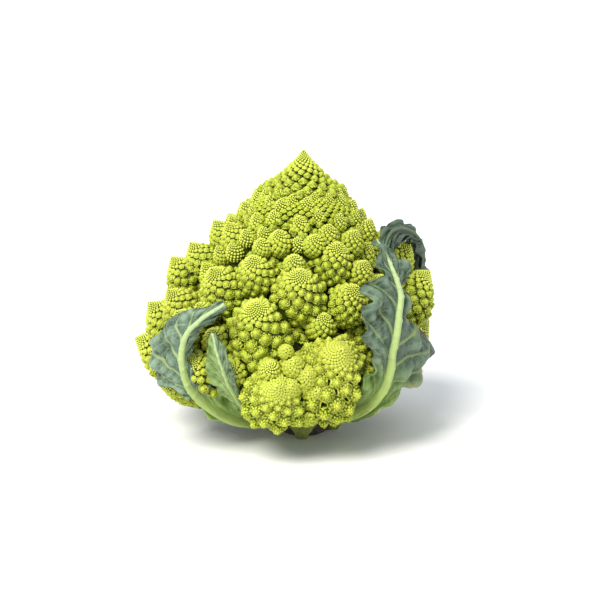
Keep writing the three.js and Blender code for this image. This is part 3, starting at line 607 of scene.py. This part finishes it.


# Places and heights in millimetres. Each station is a point on the rib, one on the left edge and one on the
# right edge. The tables left and right widen or narrow the blade at shares of its length from the stalk, and
# dry says where its right edge has withered. Rib widths and heights are given at both ends, and bulge is a
# share of the blade's width. The grid is how many rows and columns of corners each half has.
# The dimming value paints shade over the right and back leaves, which lie in shadow, and a vein tone below 1
# paints the back leaf's veins as shaded too
LEAVES = {
    "leaf_right": {
        "stations": [
            [[16.5, -14.2, 12], [13, -18.5, 12.5], [20.5, -9.5, 11]],
            [[23, -30, 17], [18, -34, 21], [28, -28, 13]],
            [[35, -50, 29], [26, -56, 37], [38, -48, 24]],
            [[42, -60, 41], [32, -68, 47], [48, -54, 34]],
            [[45, -66, 53], [36, -73, 57], [60, -46, 39]],
            [[46, -69, 65], [33, -80, 69], [69, -38, 51]],
            [[48, -70, 75], [31, -82, 79], [69, -36, 61]],
            [[49, -69, 85], [31, -82, 90], [58, -50, 76]],
            [[50, -67, 94], [30, -80, 100], [53, -58, 89]],
            [[48, -64, 102], [35, -72, 104], [55, -54, 100]],
            [[45, -60, 109], [35, -68, 112], [54, -50, 107]],
            [[42, -57, 115], [35, -62, 117], [48, -52, 113]],
            [[38, -54, 121], [36.5, -55.5, 121.4], [39.3, -52.5, 121]],
        ],
        "rib_half": (4.6, 0.75), "rib_height": (4.6, 0.8), "blade_half": 0.4, "seed": 1.0,
        "grid": (210, 26),
        "dry": [(0.29, 0), (0.33, 1), (0.36, 0), (0.39, 1), (0.42, 0),
                (0.5, 0), (0.54, 1), (0.58, 0.7), (0.6, 0)],
        "bulge": 0.05, "quilt": 1.1, "crumple": 2.0, "ruffle": 1.9, "tooth": 1.0,
        "veins": 10, "vein_slope": 0.15, "young_and_lit": (0, 0), "vein_tone": 1, "painted_dimming": 0.4,
        "left": [(0, 1), (0.08, 1.3), (0.3, 1.15), (0.38, 0.8), (0.42, 0.85), (0.45, 1), (0.6, 1),
                 (0.63, 0.9), (0.66, 1.05), (0.745, 1.08), (0.76, 0.62), (1, 0.7)],
        "right": [(0, 1), (0.2, 0.8), (0.27, 1), (0.3, 0.85), (0.34, 1.02), (0.53, 1.0), (0.565, 1.15),
                  (0.585, 0.6), (0.63, 0.72), (0.66, 0.5), (0.7, 0.55), (0.75, 1.0), (1, 1)],
    },
    "leaf_left": {
        "stations": [
            [[-17.6, -12.4, 11], [-20, -8, 9.5], [-14.5, -16.5, 12.5]],
            [[-26, -20, 11], [-28, -16, 7.5], [-25, -25, 15]],
            [[-37, -34, 16], [-39.5, -30.5, 12.5], [-34, -40, 24]],
            [[-48, -46, 25], [-51, -43, 21.5], [-43, -50, 33]],
            [[-57, -55, 36], [-60.5, -51.5, 34], [-51, -58, 42]],
            [[-61, -60, 43], [-68, -53, 38], [-55, -62, 46]],
            [[-63, -64, 51], [-81, -45, 43], [-58, -65, 53]],
            [[-64, -68, 59], [-84, -44, 51], [-60, -67, 60]],
            [[-63.5, -70, 67], [-83, -46, 61], [-60, -69, 66]],
            [[-61, -72, 75], [-78, -52, 72], [-57.5, -70, 72]],
            [[-57, -73, 80], [-67, -60, 83], [-54, -71, 77]],
            [[-50, -74, 86], [-57, -66, 88], [-47, -72, 82.5]],
            [[-41, -72, 91], [-42, -70.4, 92], [-40, -72, 89.6]],
        ],
        "rib_half": (4.4, 0.7), "rib_height": (4.4, 0.7), "blade_half": 0.4, "seed": 2.3,
        "grid": (210, 26), "dry": [(0, 0), (1, 0)],
        "bulge": 0.03, "quilt": 1.15, "crumple": 1.9, "ruffle": 1.5, "tooth": 0.9,
        "veins": 10, "vein_slope": 0.16, "young_and_lit": (0, 0), "vein_tone": 1, "painted_dimming": 0,
        "left": [(0, 1), (0.3, 0.9), (0.44, 0.8), (0.5, 0.86), (0.62, 0.97), (0.7, 0.98), (0.73, 0.8),
                 (0.78, 1.02), (0.86, 0.95), (0.88, 0.8), (1, 1)],
        "right": [(0, 1), (0.05, 1.3), (0.14, 1.7), (0.28, 1.7), (0.38, 1.4), (0.48, 1), (1, 1)],
    },
    "leaf_small": {
        "stations": [
            [[-10.8, -20.4, 14], [-13, -19.2, 14], [-8.6, -21.6, 14.5]],
            [[-22, -38, 15.5], [-25, -37, 15.5], [-19.5, -39, 17]],
            [[-31, -52, 27], [-36, -52, 30], [-28, -53, 27]],
            [[-39, -68, 45], [-47, -65, 44], [-35, -69, 46]],
            [[-42, -76, 56], [-51, -72, 56], [-37, -76, 57]],
            [[-45, -80, 67], [-50, -76, 68], [-41, -79, 69]],
            [[-47, -81, 78], [-48, -80, 78], [-46, -80.6, 78]],
        ],
        "rib_half": (2, 0.4), "rib_height": (1.6, 0.3), "blade_half": 0.35, "seed": 0.4,
        "grid": (120, 18), "dry": [(0, 0), (1, 0)],
        "bulge": -0.06, "quilt": 0.6, "crumple": 0.7, "ruffle": 0.8, "tooth": 0.8,
        "veins": 8, "vein_slope": 0.14, "young_and_lit": (0.8, 0.15), "vein_tone": 1, "painted_dimming": 0,
        "left": [(0, 1.5), (0.1, 1.9), (0.3, 1.5), (0.4, 1), (1, 1)],
        "right": [(0, 1.3), (0.1, 1.9), (0.3, 1.6), (0.45, 0.8), (0.5, 1), (1, 1)],
    },
    "leaf_back": {
        "stations": [
            [[16.2, 14.6, 12], [19.5, 10.5, 12], [12.5, 18.4, 12]],
            [[35, 31, 13], [39, 25, 15], [31, 36, 14]],
            [[50, 47, 27], [57, 37, 30], [41, 55, 28]],
            [[62, 48, 49], [71, 28, 52], [44, 67, 48]],
            [[65, 40, 68], [71, 19, 72], [47, 62, 66]],
            [[67, 28, 86], [67, 10, 90], [52, 50, 84]],
            [[67, 20, 98], [64, 6, 102], [58, 38, 97]],
            [[64.5, 11, 107], [60, -1, 109], [60, 27, 108]],
            [[59, 0, 114.5], [55, -9, 112.5], [57, 12, 117]],
            [[52, -14, 119], [50, -22, 114], [48, -6, 121]],
            [[46, -27, 118], [46, -34, 111.5], [41.5, -22, 120.5]],
            [[43, -38, 110.5], [44.1, -38.8, 109.8], [41.9, -37.6, 111.5]],
        ],
        "rib_half": (4.2, 0.8), "rib_height": (4, 0.5), "blade_half": 0.4, "seed": 4.2,
        "grid": (210, 26), "dry": [(0, 0), (1, 0)],
        "bulge": 0.05, "quilt": 0.9, "crumple": 1.9, "ruffle": 2.0, "tooth": 1.0,
        "veins": 12, "vein_slope": 0.13, "young_and_lit": (0, 0), "vein_tone": 0.3, "painted_dimming": 0.85,
        "left": [(0, 1), (0.2, 0.8), (0.28, 1), (0.6, 1), (0.63, 0.8), (0.68, 1.1), (0.74, 2),
                 (0.82, 1.9), (0.88, 1.6), (1, 1)],
        "right": [(0, 1), (0.2, 0.8), (0.28, 1), (0.5, 1), (0.53, 0.8), (0.56, 1), (1, 1)],
    },
}


# Materials

class Nodes:
    """Short calls for the node trees below."""

    def __init__(self, name):
        self.material = bpy.data.materials.new(name)
        self.material.use_nodes = True
        self.tree = self.material.node_tree
        self.shader = self.tree.nodes["Principled BSDF"]

    def add(self, kind, **settings):
        node = self.tree.nodes.new(kind)
        for key, value in settings.items():
            setattr(node, key, value)
        return node

    def link(self, out, into):
        self.tree.links.new(out, into)

    def value(self, name):
        return self.add("ShaderNodeAttribute", attribute_name=name).outputs["Fac"]

    def noise(self, scale, detail=3.0, kind="ShaderNodeTexNoise"):
        place = self.add("ShaderNodeTexCoord")
        node = self.add(kind)
        self.link(place.outputs["Object"], node.inputs["Vector"])
        node.inputs["Scale"].default_value = scale
        if "Detail" in node.inputs:
            node.inputs["Detail"].default_value = detail
        return node

    def ramp(self, fac, stops):
        node = self.add("ShaderNodeValToRGB")
        ramp = node.color_ramp
        while len(ramp.elements) < len(stops):
            ramp.elements.new(0.5)
        for element, (place, color) in zip(ramp.elements, stops):
            element.position = place
            element.color = (*color, 1)
        self.link(fac, node.inputs["Fac"])
        return node.outputs["Color"]

    def mix(self, fac, a, b, blend="MIX"):
        node = self.add("ShaderNodeMix", data_type="RGBA", blend_type=blend)
        for item, socket in ((fac, node.inputs["Factor"]), (a, node.inputs["A"]), (b, node.inputs["B"])):
            if isinstance(item, (int, float)):
                socket.default_value = item
            elif isinstance(item, tuple):
                socket.default_value = (*item, 1)
            else:
                self.link(item, socket)
        return node.outputs["Result"]

    def math(self, operation, a, b=0.0, c=0.0, clamp=False):
        node = self.add("ShaderNodeMath", operation=operation, use_clamp=clamp)
        for item, socket in zip((a, b, c), node.inputs):
            if isinstance(item, (int, float)):
                socket.default_value = item
            else:
                self.link(item, socket)
        return node.outputs["Value"]

    def bump(self, height, strength, distance):
        node = self.add("ShaderNodeBump")
        node.inputs["Strength"].default_value = strength
        node.inputs["Distance"].default_value = distance
        self.link(height, node.inputs["Height"])
        self.link(node.outputs["Normal"], self.shader.inputs["Normal"])


def curd_material():
    n = Nodes("curd_surface")
    # 1 on a bead, how far down its bud a place lies, how much fine grain the bud has, a shade of its own, and
    # how far down its floret the bud lies
    bead, low, grain, tone, down = (n.value(k) for k in ("bead", "low", "grain", "tone", "down"))
    # Beads too small for the mesh, on the sides of the largest buds
    cells = n.noise(780.0, 0, "ShaderNodeTexVoronoi")
    roundness = n.math("SUBTRACT", 0.38, cells.outputs["Distance"])
    spread = n.math("MULTIPLY", n.math("MULTIPLY", grain, low), roundness)
    # Painted light and shade: beads, the middles of the fine beads and buds high on their floret are painted
    # lighter, and places deep down a bud or low on a floret darker, where shade falls between them
    height = n.math("MULTIPLY_ADD", bead, 0.85, n.math("MULTIPLY_ADD", down, -0.26, 0.54))
    height = n.math("MULTIPLY_ADD", spread, 1.7, height)
    relief = n.math("SUBTRACT", height, n.math("POWER", low, 2.0), clamp=True)
    painted_shading = n.ramp(relief, [(0.0, (0.05, 0.075, 0.002)), (0.25, (0.25, 0.31, 0.007)),
                           (0.55, (0.50, 0.565, 0.036)), (1.0, (0.695, 0.735, 0.15))])
    # Painted highlight: buds near the top of their floret are mixed towards pale yellow
    tips = n.mix(n.math("MULTIPLY", n.math("SUBTRACT", 1.0, down), 0.3), painted_shading, (0.66, 0.70, 0.12))
    patches = n.noise(26.0)
    warmth = n.math("MULTIPLY", n.ramp(patches.outputs["Fac"], [(0.5, (0, 0, 0)), (0.75, (1, 1, 1))]), 0.35)
    greener = n.mix(n.math("MULTIPLY", tone, 0.35), tips, (0.87, 1.0, 0.75), "MULTIPLY")
    color = n.mix(warmth, greener, (1.0, 0.88, 0.8), "MULTIPLY")
    n.link(color, n.shader.inputs["Base Color"])
    n.shader.inputs["Roughness"].default_value = 0.5
    n.shader.inputs["Specular IOR Level"].default_value = 0.22
    n.shader.inputs["Subsurface Weight"].default_value = 0.06
    n.shader.inputs["Subsurface Radius"].default_value = (0.8, 1.0, 0.1)
    n.shader.inputs["Subsurface Scale"].default_value = 0.001
    n.bump(spread, 0.8, 0.0012)
    return n.material


def leaf_material():
    n = Nodes("leaf_surface")
    vein, fold_shade, dry, along = (n.value(k) for k in ("vein", "fold_shade", "dry", "along"))
    inner, young_and_lit, painted_dimming = (n.value(k) for k in ("inner", "young_and_lit", "painted_dimming"))
    cloud = n.noise(60.0, 4.0)
    # Painted light and shade from the creases and crumples, with cloudy blotches of the leaf's own colour
    shifted_fold_shade = n.math("SUBTRACT", fold_shade, 0.25)
    shade = n.math("MULTIPLY_ADD", cloud.outputs["Fac"], 0.5, shifted_fold_shade, clamp=True)
    outward = n.ramp(shade, [(0.1, (0.02, 0.042, 0.024)), (0.5, (0.07, 0.12, 0.08)),
                             (0.95, (0.20, 0.29, 0.20))])
    # Painted shade: the face towards the curd is much darker
    shaded_inner_face = n.ramp(shade, [(0.1, (0.006, 0.016, 0.005)), (0.9, (0.04, 0.08, 0.03))])
    face = n.mix(inner, outward, shaded_inner_face)
    net = n.noise(330.0, 0, "ShaderNodeTexVoronoi")
    net.feature = "DISTANCE_TO_EDGE"
    lines = n.ramp(net.outputs["Distance"], [(0.0, (1, 1, 1)), (0.12, (0, 0, 0))])
    netted = n.mix(n.math("MULTIPLY", lines, 0.3), face, (0.28, 0.39, 0.24))
    fresh = n.ramp(shade, [(0.1, (0.09, 0.18, 0.015)), (0.9, (0.30, 0.43, 0.09))])
    # Fresh pale colour, which on the small leaf also paints its left half lit and its right half shaded
    wing = n.mix(n.math("MULTIPLY", young_and_lit, 0.85), netted, fresh)
    pale = n.ramp(along, [(0.0, (0.33, 0.43, 0.08)), (0.45, (0.40, 0.52, 0.17)), (1.0, (0.42, 0.53, 0.27))])
    veined = n.mix(n.math("MULTIPLY", vein, 0.95), wing, pale)
    withered = n.ramp(cloud.outputs["Fac"], [(0.4, (0.16, 0.09, 0.035)), (0.6, (0.42, 0.36, 0.14))])
    color = n.mix(dry, veined, withered)
    # Painted shade: leaves that lie in shadow are darkened as a whole
    n.link(n.mix(painted_dimming, color, (0.28, 0.32, 0.28), "MULTIPLY"), n.shader.inputs["Base Color"])
    n.shader.inputs["Roughness"].default_value = 0.5
    n.shader.inputs["Specular IOR Level"].default_value = 0.35
    n.shader.inputs["Subsurface Weight"].default_value = 0.05
    n.shader.inputs["Subsurface Radius"].default_value = (0.5, 1.0, 0.3)
    n.shader.inputs["Subsurface Scale"].default_value = 0.001
    n.bump(lines, 0.35, 0.0004)
    return n.material


def stalk_material():
    n = Nodes("stalk_surface")
    cut_and_shade = n.value("cut_and_shade")
    streaks = n.noise(130.0, 5.0)
    green = n.ramp(streaks.outputs["Fac"], [(0.3, (0.14, 0.18, 0.03)), (0.7, (0.34, 0.41, 0.08))])
    # Dark colours for trimmed faces, also standing in for the shade under the curd
    brown_and_shade = n.ramp(streaks.outputs["Fac"], [(0.3, (0.035, 0.024, 0.02)), (0.7, (0.11, 0.08, 0.045))])
    n.link(n.mix(cut_and_shade, green, brown_and_shade), n.shader.inputs["Base Color"])
    n.shader.inputs["Roughness"].default_value = 0.65
    n.bump(streaks.outputs["Fac"], 0.6, 0.0006)
    return n.material


# The stalk, the curd and its core

def stalk_rings(sides=160, rows=60):
    """The stalk with its stubs of leaves, closed at both ends, and a value that is 1 where it is dark: on the
    trimmed faces, and as painted shade at its top under the curd.
    """
    z = np.linspace(0, STALK_HEIGHT, rows)[:, None]
    turn = (2 * np.pi * np.arange(sides) / sides)[None]
    radius = STALK_RADIUS + (STALK_TOP_RADIUS - STALK_RADIUS) * z / STALK_HEIGHT
    radius = radius * (1 + 0.02 * np.sin(3 * turn + 1))
    # A stub widens upwards, and from a height of 12 mm on it runs out into the stalk.
    rise = (0.85 + 0.15 * smooth(0, 3, z)) * (1 - smooth(12, 20, z))
    stub = np.zeros_like(radius)
    for azimuth in STUB_AZIMUTHS:
        away = np.abs(np.angle(np.exp(1j * (turn - math.radians(azimuth)))))
        stub = stub + rise * (1 - smooth(0.08, 0.3 + 0.34 * smooth(0, 9, z), away))
    rough = 0.35 * np.sin(23 * turn + 0.6 * z) + 0.3 * np.sin(41 * turn - 0.9 * z) \
        + 0.25 * np.sin(1.7 * z + 9 * turn)
    radius = radius + STUB_REACH * stub + rough * smooth(0, 1.0, z) * (1 - smooth(18, 21, z))
    verts = np.stack([radius * np.sin(turn), -radius * np.cos(turn), z + 0 * turn], -1).reshape(-1, 3)
    k = np.arange(sides)
    n = (k + 1) % sides
    faces = []
    for row in range(rows - 1):
        a, b = row * sides, (row + 1) * sides
        faces += [np.stack([a + k, a + n, b + n], 1), np.stack([a + k, b + n, b + k], 1)]
    low, high = len(verts), len(verts) + 1
    verts = np.concatenate([verts, [[0, 0, 0], [0, 0, STALK_HEIGHT]]])
    top = (rows - 1) * sides
    faces += [np.stack([low + 0 * k, n, k], 1), np.stack([high + 0 * k, top + k, top + n], 1)]
    # 1 between the stubs and on their trimmed ends, and from 13 mm up as painted shade under the curd
    cut_and_shade = np.clip(1 - smooth(0.05, 0.4, stub) + 0.3 * smooth(0.7, 1, stub) + smooth(13, 17, z), 0, 1)
    cut_and_shade = np.concatenate([cut_and_shade.ravel(), [1, 0]])
    return verts, np.concatenate(faces), {"cut_and_shade": cut_and_shade}


def draw_in(at, radius, leaves):
    """The place nearer the centre at which a bud of this radius stays clear of the leaves, and its shift."""
    away = at - CENTRE
    reach = np.linalg.norm(away)
    direction = away / reach
    free = reach
    # Small buds look for a leaf a little to both sides as well, since they could stand beside its edge.
    turns = (-0.045, 0, 0.045) if radius < 1.3 else (0,)
    for leaf in leaves:
        for turn in turns:
            sideways = turn * np.array([-direction[1], direction[0], 0])
            beside = Vector(direction + sideways)
            hit = leaf.ray_cast(Vector(CENTRE), beside)[3]
            if hit is not None:
                free = min(free, hit - BEHIND_LEAF * radius - LEAF_ROOM)
        near = leaf.find_nearest(Vector(CENTRE + direction * free), radius)[3]
        if near is not None:
            free -= max(0, BESIDE_LEAF * radius - near)
    return CENTRE + direction * free, reach - free


def grown_clear(buds, shapes, index, others, leaves, own=None):
    """The buds of one floret or of the head as a mesh, without what can't be seen or has no room."""
    places = np.array([b[0] for b in buds])
    shown = ~in_core(places, CORE_SINK)
    for other in others:
        shown &= ~in_floret(places, other)
    beyond_stalk = (np.hypot(places[:, 0], places[:, 1]) > STALK_ROOM[0]) | (places[:, 2] > STALK_ROOM[1])
    shown &= (places[:, 2] > FLAT_UNDERSIDE) & beyond_stalk
    kept = []
    for k in np.nonzero(shown)[0]:
        at, axis, radius, down = buds[k]
        moved, shift = draw_in(at, radius, leaves)
        if shift < FARTHEST_SHIFT:
            kept.append((moved, axis, radius, down))
    if not kept:
        return None
    verts, faces, values = grow(kept, shapes, (index * GOLDEN_SHARE) % 1)
    hidden = in_core(verts, CORE_SINK + 0.02)
    for other in others:
        hidden |= in_floret(verts, other, HIDDEN_SHARE)
    if own is not None:
        hidden |= in_floret(verts, own, OWN_HIDDEN_SHARE)
    faces = faces[~hidden[faces].all(1)]
    used, places = np.unique(faces, return_inverse=True)
    return verts[used], places.reshape(faces.shape), {key: value[used] for key, value in values.items()}


def plain_values(verts):
    """The curd's values for a bare surface deep between the buds, which give it the darkest painted shade."""
    zero = np.zeros(len(verts))
    return {"bead": zero, "low": zero + 1, "grain": zero, "tone": zero, "down": zero + 1}


def bare_floret(floret, leaves):
    """The plain bell and stem inside a floret, drawn in behind the leaves, or None where it has no room."""
    tip, axis, radius = floret
    depths = np.array([0.03, 0.15, 0.4, 0.75, 1.1, 1.5, 2.0])
    stem = np.clip((depths - BELL_DEPTH) / STEM_DEPTH, 0, 1)
    widths = BARE_SHARE * bell(depths / BELL_DEPTH) * np.sqrt(1 - stem * stem)
    profile = list(zip(widths * radius, (depths + 1 - BARE_SHARE) * radius))
    verts, faces = turned_profile(profile, sides=14, origin=tip, axis=axis)
    if min(leaf.find_nearest(Vector(tip))[3] for leaf in leaves) < 2 * radius:
        moved = [draw_in(at, radius=3, leaves=leaves) for at in verts]
        if max(shift for _, shift in moved) > FARTHEST_CORE_SHIFT:
            return None
        verts = np.array([at for at, _ in moved])
    return verts, faces, plain_values(verts)


def bare_head():
    """The core of the head, below its florets."""
    z = np.linspace(HEAD_HEIGHT - 0.4, 21, 60)
    widths = np.maximum(head_radius(z) - CORE_SINK * floret_size(HEAD_HEIGHT - z), 0.2)
    profile = list(zip(widths, HEAD_HEIGHT - z))
    top, up = np.array([0, 0, HEAD_HEIGHT]), np.array([0, 0, 1.0])
    verts, faces = turned_profile(profile, sides=120, origin=top, axis=up)
    verts[:, 0] += lean(verts[:, 2])
    return verts, faces, plain_values(verts)


# Build

curd_skin = curd_material()
leaf_skin = leaf_material()
stalk_skin = stalk_material()

leaf_trees = []
for name, shape in LEAVES.items():
    verts, faces, values = leaf_solid(shape)
    piece = mesh_object(f"{name}_fine", verts, faces, leaf_skin, **values)
    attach(piece, "root")
    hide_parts(name)
    leaf_trees.append(bvhtree.BVHTree.FromPolygons(verts.tolist(), faces.tolist()))

verts, faces, values = stalk_rings()
stalk = mesh_object("stalk_fine", verts, faces, stalk_skin, **values)
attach(stalk, "root")
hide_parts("stalk")

# The florets are shared out to sectors by their azimuth, and the buds straight on the head are the tip.
all_florets = florets()
tips = np.array([f[0] for f in all_florets])
sizes = np.array([f[2] for f in all_florets])
on_head = grown_clear(all_head_buds(), CAP_BUDS, len(all_florets), all_florets, leaf_trees)
meshes_by_piece = {"curd_tip": [on_head]} | {f"curd_florets_{n + 1}": [] for n in range(SECTORS)}
for index, floret in enumerate(all_florets):
    gap = np.linalg.norm(tips - floret[0], axis=1)
    close = np.nonzero(gap < NEIGHBOUR_REACH * (sizes + floret[2]))[0]
    others = [all_florets[k] for k in close if k != index]
    shapes = SPIKY_BUDS if index in SPIKY_FLORETS else ROUND_BUDS
    mesh = grown_clear(buds_on(floret, index), shapes, index, others, leaf_trees, floret)
    if mesh is not None:
        turn = math.atan2(floret[0][0] - CENTRE[0], -floret[0][1])
        sector = int((turn / (2 * math.pi) + 0.5) * SECTORS) % SECTORS
        meshes_by_piece[f"curd_florets_{sector + 1}"].append(mesh)

for name, meshes in meshes_by_piece.items():
    verts, faces, values = join(meshes)
    piece = mesh_object(name, verts, faces, curd_skin, **values)
    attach(piece, "root")
    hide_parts("curd")

cores = [bare_floret(floret, leaf_trees) for floret in all_florets] + [bare_head()]
verts, faces, values = join([mesh for mesh in cores if mesh is not None])
core = mesh_object("curd_core", verts, faces, curd_skin, **values)
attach(core, "root")
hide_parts("curd")


# Camera, floor and light

TARGET = Vector((-0.002, 0, 0.0755))  # this and the next lengths in metres
ELEVATION = math.radians(14)
DISTANCE = 1.0
PICTURE_WIDTH = 0.336  # at the target
SENSOR_WIDTH = 36  # millimetres, as the floor's
FLOOR_HALF = 4000
SUN_DIRECTION = Vector((0.48, 0.8, -1.0))
camera = bpy.data.objects.new("camera", bpy.data.cameras.new("camera"))
camera.data.sensor_width = SENSOR_WIDTH
camera.data.lens = SENSOR_WIDTH * DISTANCE / PICTURE_WIDTH
camera.data.clip_start = 0.01
camera.location = TARGET + DISTANCE * Vector((0, -math.cos(ELEVATION), math.sin(ELEVATION)))
camera.rotation_euler = (TARGET - camera.location).to_track_quat("-Z", "Y").to_euler()
bpy.context.collection.objects.link(camera)
bpy.context.scene.camera = camera

sun = bpy.data.objects.new("sun", bpy.data.lights.new("sun", "SUN"))
sun.data.energy = 3.7
sun.data.angle = math.radians(28)
sun.data.color = (1.0, 0.975, 0.93)
sun.rotation_euler = SUN_DIRECTION.to_track_quat("-Z", "Y").to_euler()
bpy.context.collection.objects.link(sun)

world = bpy.data.worlds.new("studio")
world.use_nodes = True
sky = world.node_tree.nodes["Background"]
sky.inputs["Color"].default_value = (0.91, 0.955, 1.0, 1)
sky.inputs["Strength"].default_value = 0.78
bpy.context.scene.world = world
bpy.context.scene.view_settings.view_transform = "Standard"

floor_paint = Nodes("floor_paint")
floor_paint.shader.inputs["Base Color"].default_value = (0.93, 0.93, 0.93, 1)
floor_paint.shader.inputs["Roughness"].default_value = 0.7
floor_corners = [[x * FLOOR_HALF, y * FLOOR_HALF, 0] for x, y in ((-1, -1), (1, -1), (1, 1), (-1, 1))]
floor = mesh_object("floor", floor_corners, [[0, 1, 2, 3]], floor_paint.material, smooth_shaded=False)
